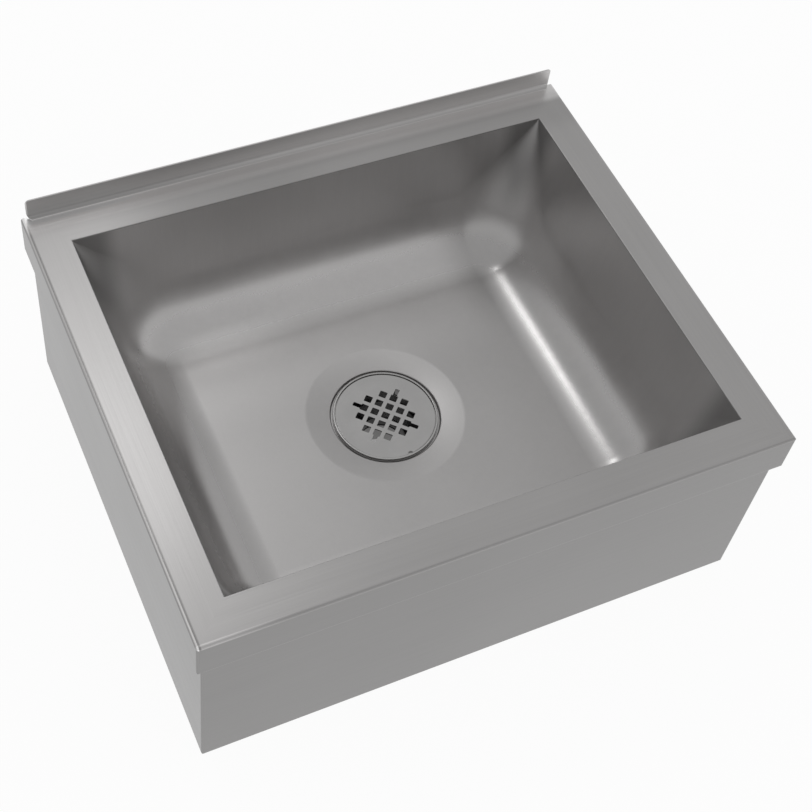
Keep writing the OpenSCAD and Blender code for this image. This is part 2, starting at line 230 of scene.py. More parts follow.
def rounded(corners, steps=4):
    """A closed outline from corners (across, up, radius), each rounded by its radius."""
    points = []
    for i, (across, up, radius) in enumerate(corners):
        here = Vector((across, up))
        if not radius:
            points.append((across, up))
            continue
        before = (Vector(corners[i - 1][:2]) - here).normalized()
        after = (Vector(corners[(i + 1) % len(corners)][:2]) - here).normalized()
        half = before.angle(after) / 2
        centre = here + (before + after).normalized() * radius / math.sin(half)
        start = here + before * radius / math.tan(half) - centre
        end = here + after * radius / math.tan(half) - centre
        for k in range(steps + 1):
            spoke = start.lerp(end, k / steps).normalized() * radius
            points.append(tuple(centre + spoke))
    return points


def steps_of(count):
    """Equal steps that end at 1."""
    return [(k + 1) / count for k in range(count)]


def ring_on(across, up, next_across, next_up):
    """In edit mode: extrudes the selected ring to the next radius and height."""
    bpy.ops.mesh.extrude_region_move(
        TRANSFORM_OT_translate={"value": (0, 0, next_up - up)}
    )
    grow = next_across / across
    bpy.ops.transform.resize(value=(grow, grow, 1), center_override=(0, 0, next_up))


def turned(outline):
    """A closed outline of (radius, height) points, turned ring by ring about the drain."""
    put_down()
    radius, height = outline[0]
    bpy.ops.mesh.primitive_circle_add(
        vertices=TURN_STEPS, radius=radius, location=(0, 0, height), enter_editmode=True
    )
    for here, there in zip(outline, outline[1:]):
        ring_on(*here, *there)
    pick("EDGE", lambda edge: edge.is_boundary)
    bpy.ops.mesh.bridge_edge_loops()
    bpy.ops.object.mode_set(mode="OBJECT")
    outward()
    return bpy.context.object


def threads(outer, top, bottom, pitch, depth):
    """Points of a V thread on a turned outline, from top to bottom on radius outer."""
    count = round(abs(top - bottom) / pitch)
    step = (bottom - top) / count
    points = []
    for k in range(count):
        start = top + k * step
        points += [
            (outer, start + 0.12 * step),
            (outer - depth, start + 0.44 * step),
            (outer - depth, start + 0.56 * step),
            (outer, start + 0.88 * step),
        ]
    return points


# ---- Bowl ----


class SINK_OT_bowl(bpy.types.Operator):
    """Models the drawn bowl: a hull of a sharp opening and four corner balls"""

    bl_idname = "sink.bowl"
    bl_label = "Drawn bowl"

    def execute(self, context):
        sizes = context.scene.bowl_sizes
        under = high("drawn_bowl").z
        reach = high("drawn_bowl").x - sizes.lap
        front = low("drawn_bowl").y + sizes.lap
        back = high("drawn_bowl").y - sizes.lap
        centre = (front + back) / 2
        half = (back - front) / 2
        floor = under - sizes.depth
        ball = sizes.cove
        put_down()
        parts = []
        for x in (-1, 1):
            for y in (-1, 1):
                bpy.ops.mesh.primitive_uv_sphere_add(
                    segments=BALL_STEPS,
                    ring_count=BALL_STEPS // 2,
                    radius=ball,
                    location=(
                        x * (reach - sizes.side_lean - ball),
                        centre + y * (half - sizes.end_lean - ball),
                        floor + ball,
                    ),
                )
                parts.append(context.object)
        bpy.ops.mesh.primitive_plane_add(size=2, location=(0, centre, under))
        context.object.scale = (reach, half, 1)
        take_up(context.object, *parts)
        bpy.ops.object.join()
        bowl = context.object
        bpy.ops.object.transform_apply(location=True, rotation=True, scale=True)

        # The hull, open at the top and without its flat floor
        bpy.ops.object.mode_set(mode="EDIT")
        bpy.ops.mesh.select_all(action="SELECT")
        bpy.ops.mesh.convex_hull(
            delete_unused=True,
            use_existing_faces=False,
            make_holes=False,
            join_triangles=True,
            face_threshold=math.radians(0.5),
            shape_threshold=math.radians(80),
        )
        # Levels up the walls, in mm below the deck, keep the shading of the long faces true
        levels = (0.4, 1, 2, 3.5, 6, 10, 16, 24, 34, 46, 60, 76, 92)
        for drop in levels:
            bpy.ops.mesh.select_all(action="SELECT")
            bpy.ops.mesh.bisect(plane_co=(0, 0, under - drop * MM), plane_no=(0, 0, 1))
        pick("FACE", lambda face: all(v.co.z > under - SAME for v in face.verts))
        bpy.ops.mesh.delete(type="FACE")
        pick("FACE", lambda face: all(v.co.z < floor + SAME for v in face.verts))
        bpy.ops.mesh.delete(type="FACE")

        # The floor again, with the round of the recess left out
        bpy.ops.mesh.select_all(action="DESELECT")
        bpy.ops.mesh.primitive_circle_add(
            vertices=TURN_STEPS, radius=sizes.recess, location=(0, 0, floor)
        )
        pick(
            "EDGE",
            lambda edge: all(v.co.z < floor + SAME for v in edge.verts)
            and (edge.is_boundary or edge.is_wire),
        )
        bpy.ops.mesh.fill(use_beauty=True)

        # The recess, in to the hole: shoulder, dish, rounded edge, wall and seat
        width, drop = sizes.shoulder_width, sizes.shoulder_drop
        foot = sizes.recess - width
        edge = sizes.seat + sizes.seat_edge
        dish = floor - sizes.dish_drop
        seat = floor - sizes.seat_drop
        toe = 0.8 * MM
        line = [(sizes.recess, floor)]
        for s in steps_of(4):
            line.append((sizes.recess - width * s, floor - drop * s * s))
        for s in steps_of(12):
            # The dish grows a little steeper towards the seat
            fall = (sizes.dish_drop - drop) * s * (4 + s) / 5
            line.append((foot + (edge - foot) * s, floor - drop - fall))
        for s in steps_of(6):
            turn = s * math.pi / 2
            line.append(
                (
                    edge - sizes.seat_edge * math.sin(turn),
                    dish - sizes.seat_edge * (1 - math.cos(turn)),
                )
            )
        line.append((sizes.seat, seat + toe))
        for s in steps_of(4):
            turn = s * math.pi / 2
            line.append(
                (sizes.seat - toe * (1 - math.cos(turn)), seat + toe * (1 - math.sin(turn)))
            )
        line.append((sizes.hole, seat))
        pick(
            "VERT",
            lambda vert: abs(vert.co.xy.length - sizes.recess) < CLOSE
            and abs(vert.co.z - floor) < SAME,
        )
        bpy.ops.mesh.select_mode(type="EDGE")
        for here, there in zip(line, line[1:]):
            ring_on(*here, *there)

        # The flange that laps under the deck
        pick("EDGE", lambda edge: edge.is_boundary and middle(edge).z > under - SAME)
        bpy.ops.mesh.extrude_region_move(TRANSFORM_OT_translate={"value": (0, 0, 0)})
        bpy.ops.transform.resize(
            value=((reach + sizes.lap) / reach, (half + sizes.lap) / half, 1),
            center_override=(0, centre, under),
        )
        bpy.ops.mesh.select_all(action="SELECT")
        bpy.ops.mesh.normals_make_consistent(inside=False)
        bpy.ops.object.mode_set(mode="OBJECT")
        seat_normals = [
            face.normal.z
            for face in bowl.data.polygons
            if abs(face.center.z - floor) < SAME and abs(face.normal.z) > 0.99
        ]
        if sum(seat_normals) < 0:
            bpy.ops.object.mode_set(mode="EDIT")
            bpy.ops.mesh.flip_normals()
            bpy.ops.object.mode_set(mode="OBJECT")
        modify(bowl, "SOLIDIFY", thickness=sizes.sheet, offset=-1, use_even_offset=True)
        settle("bowl", "sink", "bowl_steel", "drawn_bowl", angle=30)
        modify(bowl, "WEIGHTED_NORMAL", mode="FACE_AREA", weight=60, keep_sharp=True)
        put_down()
        dress(bowl, drawn_steel("bowl_satin"))
        return {"FINISHED"}


# ---- Drain ----


def drain_levels():
    """Heights of the drain's face, lip, funnel and neck, from the frame."""
    sizes = bpy.context.scene.drain_sizes
    lip = high("drain_body").z
    face = lip - sizes.lip_height
    funnel = face - sizes.barrel_length
    neck = funnel - sizes.funnel
    return lip, face, funnel, neck, low("drain_body").z


class SINK_OT_drain(bpy.types.Operator):
    """Turns the drain body, with its lip, its threaded barrel and its threaded neck"""

    bl_idname = "sink.drain"
    bl_label = "Drain body"

    def execute(self, context):
        sizes = context.scene.drain_sizes
        lip, face, funnel, neck, end = drain_levels()
        under = face - sizes.face
        bore = sizes.barrel - sizes.wall
        inner = sizes.flange - sizes.lip
        outer_side = rounded(
            [
                (inner, lip, 0.35 * MM),
                (sizes.flange, lip, 0.9 * MM),
                (sizes.flange, under, 0.25 * MM),
                (sizes.barrel, under, 0.2 * MM),
                (sizes.barrel, funnel, 0),
            ]
        )
        lower = rounded(
            [
                (sizes.barrel, under, 0),
                (sizes.barrel, funnel, 1.2 * MM),
                (sizes.neck, neck, 1.2 * MM),
                (sizes.neck, end, 0),
            ]
        )
        bottom = rounded(
            [
                (sizes.neck, neck, 0),
                (sizes.neck, end, 0.5 * MM),
                (sizes.waterway, end, 0.4 * MM),
                (sizes.waterway, neck, 2 * MM),
                (bore, funnel + sizes.wall, 2 * MM),
                (bore, face, 0.5 * MM),
                (inner, face, 0.3 * MM),
                (inner, lip, 0),
            ]
        )
        outline = (
            outer_side[:-1]
            + threads(sizes.barrel, under - 3 * MM, funnel + 4 * MM, sizes.thread, 0.7 * MM)
            + lower[1:-1]
            + threads(sizes.neck, neck - 2 * MM, end + 2 * MM, sizes.thread, 0.7 * MM)
            + bottom[1:-1]
        )
        body = turned(outline)
        settle("drain", "sink", "drain_steel", "drain_body")
        # The barrel's bore gets painted shade
        dress(body, turned_steel("drain_bright", 0.24, inside=0.22))
        return {"FINISHED"}


class SINK_OT_nuts(bpy.types.Operator):
    """Models the lugged lock nut and the hexagonal coupling nut"""

    bl_idname = "sink.nuts"
    bl_label = "Nuts"

    def execute(self, context):
        sizes = context.scene.drain_sizes
        brass = cast_brass("nut_cast_brass")
        base, top = low("lock_nut").z, high("lock_nut").z
        outer = high("lock_nut").x
        ring = 51 * MM
        lug_root = 47 * MM
        lug_width = 11 * MM
        gap = 0.3 * MM
        nut = turned(
            rounded(
                [
                    (sizes.barrel + gap, top, 0.5 * MM),
                    (ring, top, 0.8 * MM),
                    (ring, base, 0.8 * MM),
                    (sizes.barrel + gap, base, 0.5 * MM),
                ]
            )
        )
        rise = (top - base) * 2 / 3
        lugs = []
        for k in range(6):
            put_down()
            bpy.ops.mesh.primitive_cube_add(size=1, enter_editmode=True)
            bpy.ops.transform.resize(value=(outer - lug_root, lug_width, rise))
            bpy.ops.transform.translate(value=((outer + lug_root) / 2, 0, top - rise / 2))
            pick("EDGE", lambda edge: all(v.co.x > outer - CLOSE for v in edge.verts))
            bpy.ops.mesh.bevel(offset=1.2 * MM, segments=4, affect="EDGES")
            bpy.ops.mesh.select_all(action="SELECT")
            spin_by(60 * k)
            bpy.ops.object.mode_set(mode="OBJECT")
            lugs.append(context.object)
        for lug in lugs:
            cut(nut, lug, "UNION")
        take_up(nut)
        settle("lock_nut_brass", "sink", "nut_brass", "lock_nut")
        dress(nut, brass)

        base, top = low("coupling_nut").z, high("coupling_nut").z
        across = (high("coupling_nut").y - low("coupling_nut").y) / 2
        corner = across / math.cos(math.radians(30))
        slope = across / 5
        # The tools start close to the axis and reach a little past the nut
        core = 0.1 * MM
        past = 1 * MM
        pipe_bore = sizes.pipe + gap
        neck_bore = sizes.neck + gap
        put_down()
        bpy.ops.mesh.primitive_cylinder_add(
            vertices=6, radius=corner, depth=top - base, enter_editmode=True
        )
        bpy.ops.transform.translate(value=(0, 0, (top + base) / 2))
        spin_by(30)
        bpy.ops.object.mode_set(mode="OBJECT")
        nut = context.object
        turn_down = turned(
            [
                (core, base),
                (across, base),
                (corner + past, base + slope),
                (corner + past, top - slope),
                (across, top),
                (core, top),
            ]
        )
        cut(nut, turn_down, "INTERSECT")
        bore = turned(
            rounded(
                [
                    (core, base - past, 0),
                    (pipe_bore, base - past, 0),
                    (pipe_bore, base + 3 * MM, 0.3 * MM),
                    (neck_bore, base + 3 * MM, 0.4 * MM),
                    (neck_bore, top - 1.2 * MM, 0),
                    (sizes.neck + 2 * gap + past, top + past, 0),
                    (core, top + past, 0),
                ]
            )
        )
        cut(nut, bore)
        modify(nut, "BEVEL", width=0.5 * MM, segments=3, limit_method="ANGLE", angle_limit=0.6)
        take_up(nut)
        settle("coupling_nut_brass", "sink", "nut_brass", "coupling_nut")
        dress(nut, brass)
        return {"FINISHED"}


def spin_by(degrees):
    """In edit mode: turns what is selected about the drain's axis, as seen from above."""
    bpy.ops.transform.rotate(
        value=-math.radians(degrees), orient_axis="Z", center_override=(0, 0, 0)
    )


class SINK_OT_outlet(bpy.types.Operator):
    """Turns the outlet pipe, with its flange and its pipe thread"""

    bl_idname = "sink.outlet"
    bl_label = "Outlet pipe"

    def execute(self, context):
        sizes = context.scene.drain_sizes
        end, top = low("tailpiece").z, high("tailpiece").z
        collar = low("coupling_nut").z
        slim = sizes.pipe - 0.6 * MM
        flange = high("tailpiece").x
        seat = top - 2.4 * MM
        head = rounded(
            [
                (sizes.waterway, top, 0.3 * MM),
                (flange, top, 0.4 * MM),
                (flange, seat, 0.4 * MM),
                (slim, seat, 0.5 * MM),
                (slim, collar, 0.2 * MM),
                (sizes.pipe, collar, 0.3 * MM),
                (sizes.pipe, end, 0),
            ]
        )
        foot = rounded(
            [
                (sizes.pipe, collar, 0),
                (sizes.pipe, end, 0.9 * MM),
                (sizes.waterway, end, 0.5 * MM),
                (sizes.waterway, top, 0),
            ]
        )
        outline = (
            head[:-1]
            + threads(sizes.pipe, end + 21 * MM, end + 2 * MM, 2.2 * MM, 0.8 * MM)
            + foot[1:-1]
        )
        pipe = turned(outline)
        settle("outlet_pipe", "sink", "pipe_steel", "tailpiece")
        dress(pipe, turned_steel("pipe_turned_steel", 0.30))
        return {"FINISHED"}


# ---- Strainer ----


class SINK_OT_strainer(bpy.types.Operator):
    """Pierces the strainer plate and bends its four spring legs down"""

    bl_idname = "sink.strainer"
    bl_label = "Strainer"

    def execute(self, context):
        sizes = context.scene.strainer_sizes
        top = high("strainer_plate").z
        outer = high("strainer_plate").x
        thick = 1.6 * MM
        base = top - thick
        foot = low("strainer_plate").z
        plate = turned(
            rounded(
                [
                    (1 * MM, top, 0),
                    (outer, top, 0.4 * MM),
                    (outer, base, 0.2 * MM),
                    (1 * MM, base, 0),
                ]
            )
        )
        # The middle is filled, and then pierced
        put_down()
        bpy.ops.mesh.primitive_cylinder_add(
            vertices=TURN_STEPS, radius=2 * MM, depth=thick, location=(0, 0, (top + base) / 2)
        )
        cut(plate, context.object, "UNION")
        tools = []
        reach = 2  # Holes to each side of the middle one
        turn = 45  # Degrees by which the grid and the legs are turned
        notch_turn = -84
        side = sizes.hole
        for i in range(-reach, reach + 1):
            for j in range(-reach, reach + 1):
                # The grid's four corner holes are left out
                if abs(i) + abs(j) < 2 * reach:
                    tools.append(punch(i * sizes.pitch, j * sizes.pitch, side, side, turn, base))
        slot_from = reach * sizes.pitch
        slot = sizes.leg_place - slot_from
        for k in range(4):
            tools.append(punch(slot_from + slot / 2, 0, slot, sizes.leg, turn + 90 * k, base))
        for tool in tools:
            cut(plate, tool)
        put_down()
        bpy.ops.mesh.primitive_cylinder_add(
            vertices=32, radius=sizes.notch, depth=PUNCH_DEPTH, enter_editmode=True
        )
        bpy.ops.transform.translate(value=(outer, 0, base))
        spin_by(notch_turn)
        bpy.ops.object.mode_set(mode="OBJECT")
        cut(plate, context.object)
        modify(plate, "BEVEL", width=0.3 * MM, segments=2, limit_method="ANGLE", angle_limit=0.9)
        legs = [spring_leg(sizes, base, foot, turn + 90 * k) for k in range(4)]
        take_up(plate, *legs)
        bpy.ops.object.join()
        settle("strainer", "strainer", "strainer_steel", "strainer_plate", angle=30)
        modify(plate, "WEIGHTED_NORMAL", mode="FACE_AREA", weight=60, keep_sharp=True)
        put_down()
        dress(plate, turned_steel("strainer_bright", 0.17))
        return {"FINISHED"}


def punch(x, y, wide, deep, degrees, base):
    """A square punch with rounded corners, turned into its place through the plate."""
    put_down()
    bpy.ops.mesh.primitive_cube_add(size=1, enter_editmode=True)
    bpy.ops.transform.resize(value=(wide, deep, PUNCH_DEPTH))
    pick("EDGE", lambda edge: abs(edge.verts[0].co.z - edge.verts[1].co.z) > 1 * MM)
    bpy.ops.mesh.bevel(offset=0.8 * MM, segments=3, affect="EDGES")
    bpy.ops.mesh.select_all(action="SELECT")
    bpy.ops.transform.translate(value=(x, y, base))
    spin_by(degrees)
    bpy.ops.object.mode_set(mode="OBJECT")
    return bpy.context.object


def spring_leg(sizes, base, foot, degrees):
    """One lanced leg: a strip bent down from the plate, with a bulge at its snap."""
    drop = base - foot
    thick = 1 * MM
    bulge = 0.9 * MM
    place = sizes.leg_place
    put_down()
    bpy.ops.mesh.primitive_cube_add(size=1, enter_editmode=True)
    bpy.ops.transform.resize(value=(thick, sizes.leg, 0.4 * MM))
    bpy.ops.transform.translate(value=(place + thick / 2, 0, base + 0.6 * MM))
    pick("FACE", lambda face: face.normal.z < -0.9)
    # The strip goes straight down, out to the snap and in again to its tip: the share of
    # its drop, and of its bulge
    run = (
        (0.05, 0),
        (0.3, 0),
        (0.52, 0.15),
        (0.62, 0.5),
        (0.7, 0.88),
        (0.75, 1),
        (0.8, 0.88),
        (0.9, 0.4),
        (1, 0),
    )
    for down, out in run:
        level = base - drop * down
        side = place + thick / 2 + bulge * out
        where = selected_middle()
        bpy.ops.mesh.extrude_region_move(
            TRANSFORM_OT_translate={"value": (side - where.x, 0, level - where.z)}
        )
    pick(
        "EDGE",
        lambda edge: all(v.co.z < foot + CLOSE for v in edge.verts)
        and abs(edge.verts[0].co.y - edge.verts[1].co.y) < SAME,
    )
    bpy.ops.mesh.bevel(offset=0.45 * MM, segments=3, affect="EDGES")
    bpy.ops.mesh.select_all(action="SELECT")
    bpy.ops.mesh.normals_make_consistent(inside=False)
    spin_by(degrees)
    bpy.ops.object.mode_set(mode="OBJECT")
    return bpy.context.object


def selected_middle():
    """In edit mode: the middle of what is selected."""
    work = bmesh.from_edit_mesh(bpy.context.object.data)
    chosen = [v.co for v in work.verts if v.select]
    return sum(chosen, Vector()) / len(chosen)


# ---- Finishes ----


class Amount:
    """A number socket that takes part in sums."""

    def __init__(self, finish, socket):
        self.finish = finish
        self.socket = socket

    def sum_with(self, operation, first, second):
        """A new number from two numbers or sockets."""
        node = self.finish.node("ShaderNodeMath", {"operation": operation}, [first, second])
        return Amount(self.finish, node.outputs[0])

    def __add__(self, other):
        return self.sum_with("ADD", self, other)

    def __radd__(self, other):
        return self.sum_with("ADD", other, self)

    def __sub__(self, other):
        return self.sum_with("SUBTRACT", self, other)

    def __rsub__(self, other):
        return self.sum_with("SUBTRACT", other, self)

    def __mul__(self, other):
        return self.sum_with("MULTIPLY", self, other)

    def __rmul__(self, other):
        return self.sum_with("MULTIPLY", other, self)


class Finish:
    """A material or world that is put together node by node."""

    def __init__(self, tree):
        self.tree = tree
        tree.nodes.clear()

    def node(self, kind, settings=None, sockets=None):
        """One node: its settings first, then the values or links of its sockets."""
        node = self.tree.nodes.new(kind)
        for key, value in (settings or {}).items():
            setattr(node, key, value)
        if isinstance(sockets, list):
            sockets = dict(enumerate(sockets))
        for key, value in (sockets or {}).items():
            if isinstance(value, Amount):
                value = value.socket
            if isinstance(value, bpy.types.NodeSocket):
                self.tree.links.new(value, node.inputs[key])
            elif value is not None:
                node.inputs[key].default_value = value
        return node

    def place(self):
        """The point on the object, in metres."""
        return self.node("ShaderNodeTexCoord").outputs["Object"]

    def parts(self, vector):
        """A vector's three numbers."""
        node = self.node("ShaderNodeSeparateXYZ", None, [vector])
        return [Amount(self, socket) for socket in node.outputs]

    def vector(self, x, y, z):
        """Three numbers as a vector."""
        return self.node("ShaderNodeCombineXYZ", None, [x, y, z]).outputs[0]

    def stretch(self, vector, x, y, z):
        """A vector with its three numbers multiplied."""
        node = self.node("ShaderNodeVectorMath", {"operation": "MULTIPLY"}, [vector, (x, y, z)])
        return node.outputs[0]

    def noise(self, vector, detail=2.0):
        """Smooth noise between 0 and 1 that is about 0.5 on average."""
        node = self.node(
            "ShaderNodeTexNoise",
            {"noise_dimensions": "3D"},
            {"Vector": vector, "Scale": 1.0, "Detail": detail, "Roughness": 0.5},
        )
        return Amount(self, node.outputs[0])

    def ease(self, value, start, end, low_value=0.0, high_value=1.0):
        """Goes smoothly from low_value at start to high_value at end."""
        node = self.node(
            "ShaderNodeMapRange",
            {"interpolation_type": "SMOOTHSTEP"},
            [value, start, end, low_value, high_value],
        )
        return Amount(self, node.outputs[0])

    def fade(self, value, start, end):
        """Goes smoothly from 1 at start to 0 at end."""
        return self.ease(value, start, end, 1.0, 0.0)

    def band(self, value, start, full, fall, end):
        """Goes smoothly from 0 at start to 1 at full, and from 1 at fall to 0 at end."""
        return self.ease(value, start, full) * self.fade(value, fall, end)

    def sides(self, value, start, end):
        """Goes smoothly from 0 at start to 1 at end, to both sides of the middle."""
        return self.ease(value * value, start**2, end**2)

    def shade(self, base, amount):
        """A colour made lighter or darker by amount, which is 1 for no change."""
        node = self.node(
            "ShaderNodeVectorMath",
            {"operation": "SCALE"},
            {"Vector": tuple(base)[:3], "Scale": amount},
        )
        return node.outputs[0]

    def blend(self, amount, first, second):
        """A colour between two colours."""
        node = self.node(
            "ShaderNodeMix",
            {"data_type": "RGBA"},
            {"Factor": amount, 6: first, 7: second},
        )
        return node.outputs[2]

    def relief(self, height, distance):
        """A bump, with the distance in metres that a height of 1 stands for."""
        node = self.node(
            "ShaderNodeBump", None, {"Height": height, "Distance": distance, "Strength": 1.0}
        )
        return node.outputs["Normal"]

    def surface(self, **sockets):
        """The shader and the material's output."""
        named = {key.replace("_", " "): value for key, value in sockets.items()}
        shader = self.node("ShaderNodeBsdfPrincipled", None, named)
        self.node("ShaderNodeOutputMaterial", None, [shader.outputs[0]])


def new_finish(name):
    """A new material and what puts it together."""
    material = bpy.data.materials.new(name)
    material.use_nodes = True
    return material, Finish(material.node_tree)


def four(rgb):
    """A colour with its alpha."""
    return (*tuple(rgb)[:3], 1.0)


def dress(piece, material):
    """Gives a piece its one finish."""
    if piece.material_slots:
        for slot in piece.material_slots:
            slot.material = material
    else:
        piece.data.materials.append(material)


def colours():
    """The colours that a user would change."""
    return bpy.context.scene.finish_colours


def rim_tone(f, place, skirt):
    """How light the rim is at each place, and how dull: 0 up to the deck, 1 on the upturn.

    The skirt's tone is given. The rest is painted light and shade: painted highlights, painted
    reflections and painted dark lines that follow what the photographed rim reflects.
    """
    x, y, height = f.parts(place)
    top = high("rim_front").z
    left, front, back = low("rim_left").x, low("rim_front").y, high("rim_back").y

    # Painted light: the deck is painted lighter than the skirt, lightest on its top face
    tone = f.ease(height, top - 3.6 * MM, top - 1.4 * MM, skirt, 0.82)
    tone = tone + 0.18 * f.ease(height, top - 0.3 * MM, top - 0.02 * MM)

    # Painted highlight: the front fold is painted light towards its left end
    fold = f.ease(height, top - 3.4 * MM, top - 1.8 * MM)
    painted_front_fold_highlight = fold * f.fade(y, front + 3.5 * MM, front + 4.9 * MM)
    left_end = f.fade(x, left + 12.5 * MM, left + 102.5 * MM)
    tone = tone * (1.0 + 0.45 * painted_front_fold_highlight * left_end)

    # Painted highlight and painted shade: the left fold has a painted bright line between two
    # painted dark lines, brightest near the front
    line = fold * f.band(x, left + 0.8 * MM, left + 1.5 * MM, left + 2.1 * MM, left + 2.7 * MM)
    inner = fold * f.band(x, left + 2.3 * MM, left + 2.9 * MM, left + 3.9 * MM, left + 5.1 * MM)
    outer = f.fade(x, left + 0.3 * MM, left + 0.9 * MM)
    outer = outer * f.ease(height, top - 4.5 * MM, top - 3.5 * MM)
    near = f.ease(y, -260 * MM, 100 * MM, 1.0, 0.50)
    tone = tone * (1.0 - 0.40 * inner + 1.2 * near * line - 0.32 * outer)

    # Painted light and shade: the back deck is painted darker to the left, lighter to the right,
    # and light along the upturn
    flat = f.band(height, top - 1 * MM, top - 0.2 * MM, top, top + 0.6 * MM)
    across = f.ease(x, -260 * MM, -140 * MM, 0.0, -0.30) + f.ease(x, -90 * MM, 80 * MM, 0.0, 0.20)
    tone = tone * (1.0 + flat * f.ease(y, 190 * MM, 221 * MM) * across)
    painted_upturn_light = 0.55 * f.ease(y, back - 27.2 * MM, back - 17.2 * MM)
    painted_upturn_light = painted_upturn_light + 0.20 * f.ease(y, back - 17.2 * MM, back - 7.7 * MM)
    last = f.ease(y, back - 19.7 * MM, back - 8.7 * MM)
    painted_upturn_light = painted_upturn_light + 0.7 * last * f.fade(x, -250 * MM, -20 * MM)

    # The upturn is dull and painted lighter, with painted shade at the foot of its left half, and
    # painted dimmer towards its left end
    dull = f.ease(height, top + 2 * MM, top + 8 * MM)
    painted_bend_shade = f.band(height, top + 0.1 * MM, top + 1.2 * MM, top + 4 * MM, top + 7 * MM)
    painted_bend_shade = painted_bend_shade * f.ease(x, -220 * MM, 20 * MM, 0.27, 0.0)
    tone = tone + 0.31 * dull - painted_bend_shade + flat * painted_upturn_light
    painted_dimming = f.fade(x, -220 * MM, -40 * MM) * f.ease(height, top + 8 * MM, top + 23 * MM, 0.32, 0.12)
    return tone * (1.0 - dull * painted_dimming), dull


def satin_steel(name, along, roughness=0.30, tone=1.0, rim=False):
    """Satin sheet steel, grained along one of the axes X, Y and Z.

    The tone says how light it is; on the rim and apron it is painted shade that darkens the skirt
    and apron. On the rim it is the skirt's, and the rest has its own painted light and shade.
    """
    material, f = new_finish(name)
    place = f.place()
    fine = [900.0, 900.0, 900.0]
    coarse = [160.0, 160.0, 160.0]
    fine[along] = 9.0
    coarse[along] = 2.5
    grain = f.noise(f.stretch(place, *fine))
    streak = f.noise(f.stretch(place, *coarse))
    cloud = f.noise(f.stretch(place, 7.0, 7.0, 7.0))
    level = 0.86 + 0.08 * grain + 0.08 * streak + 0.12 * cloud
    dull = 0.0
    if rim:
        tone, dull = rim_tone(f, place, tone)
    f.surface(
        Base_Color=f.shade(colours().steel, tone * level),
        Metallic=1.0,
        Roughness=roughness - 0.05 + 0.05 * streak + 0.05 * cloud + 0.12 * dull,
        Normal=f.relief(grain + 0.6 * streak, 0.00004),
    )
    return material


def drawn_steel(name):
    """The bowl's steel: satin on the floor, brighter and less even up the walls and corners.

    How light it is at each place is painted light and shade that follows what the photographed
    bowl reflects; the walls and corners are painted brighter.
    """
    material, f = new_finish(name)
    place = f.place()
    grain = f.noise(f.stretch(place, 800.0, 800.0, 14.0))
    streak = f.noise(f.stretch(place, 120.0, 120.0, 6.0))
    cloud = f.noise(f.stretch(place, 8.0, 8.0, 8.0))
    wave = f.noise(f.stretch(place, 16.0, 16.0, 7.0), 1.0)
    x, y, height = f.parts(place)
    floor = high("drawn_bowl").z - bpy.context.scene.bowl_sizes.depth
    flat = f.fade(height, floor + 0.5 * MM, floor + 4 * MM)
    walls = f.ease(height, floor + 7 * MM, floor + 58 * MM)
    # The floor is painted a little lighter; the grain, streaks and clouds vary the tone at random
    level = 0.87 + 0.06 * grain + 0.06 * streak + 0.14 * cloud + 0.07 * flat

    # Painted light: the walls, and the back of the floor short of the right cove, are painted
    # lighter
    painted_rear_light = f.ease(y, 20 * MM, 140 * MM) * f.fade(x, 140 * MM, 190 * MM)
    level = level * (1.0 + 0.14 * walls) * (1.0 + 0.26 * painted_rear_light * (1.0 - walls))

    # Painted light and shade: the back corners are painted lighter at the top, and every corner
    # has painted shade in its middle
    corner = f.sides(x, 150 * MM, 240 * MM) * f.sides(y, 100 * MM, 195 * MM)
    corner = corner * (0.35 + 0.65 * walls)
    painted_fan_shade = f.sides(x, 222 * MM, 252 * MM) * f.sides(y, 170 * MM, 203 * MM) * walls
    painted_corner_light = corner * f.ease(y, 0.0, 100 * MM)
    painted_corner_light = painted_corner_light * f.ease(height, floor + 88 * MM, floor + 143 * MM)
    level = level * (1.0 + 0.20 * painted_corner_light) * (1.0 - 0.42 * painted_fan_shade)

    # A painted highlight lies at the back left of the floor
    painted_floor_highlight = f.band(x, -200 * MM, -150 * MM, -130 * MM, -20 * MM) * f.ease(y, 100 * MM, 150 * MM)
    painted_floor_highlight = painted_floor_highlight * f.fade(height, floor + 1.5 * MM, floor + 9 * MM)
    level = level * (1.0 + 0.20 * painted_floor_highlight)
    f.surface(
        Base_Color=f.shade(colours().steel, level),
        Metallic=1.0,
        Roughness=0.18 + 0.05 * streak + 0.06 * cloud + 0.15 * flat + 0.15 * walls + 0.12 * corner,
        Normal=f.relief(grain + 0.6 * streak + walls * wave * 60.0, 0.00003),
    )
    return material


def turned_steel(name, roughness, inside=1.0):
    """Bright steel with the fine rings of a lathe; inside darkens what lies in the barrel."""
    material, f = new_finish(name)
    place = f.place()
    x, y, z = f.parts(place)
    flat = f.node("ShaderNodeVectorMath", {"operation": "LENGTH"}, [f.vector(x, y, 0.0)])
    radius = Amount(f, flat.outputs["Value"])
    rings = f.noise(f.vector(radius * 2600.0, z * 2600.0, 0.0))
    cloud = f.noise(f.stretch(place, 45.0, 45.0, 45.0))
    sizes = bpy.context.scene.drain_sizes
    bore = sizes.barrel - sizes.wall
    level = 0.88 + 0.10 * rings + 0.12 * cloud
    # Painted shade: what lies in the barrel's bore is darkened by inside
    level = level * f.ease(radius, bore - 0.2 * MM, bore + 1.5 * MM, inside, 1.0)
    f.surface(
        Base_Color=f.shade(colours().bright, level),
        Metallic=1.0,
        Roughness=roughness - 0.03 + 0.06 * cloud,
        Normal=f.relief(rings, 0.00002),
    )
    return material


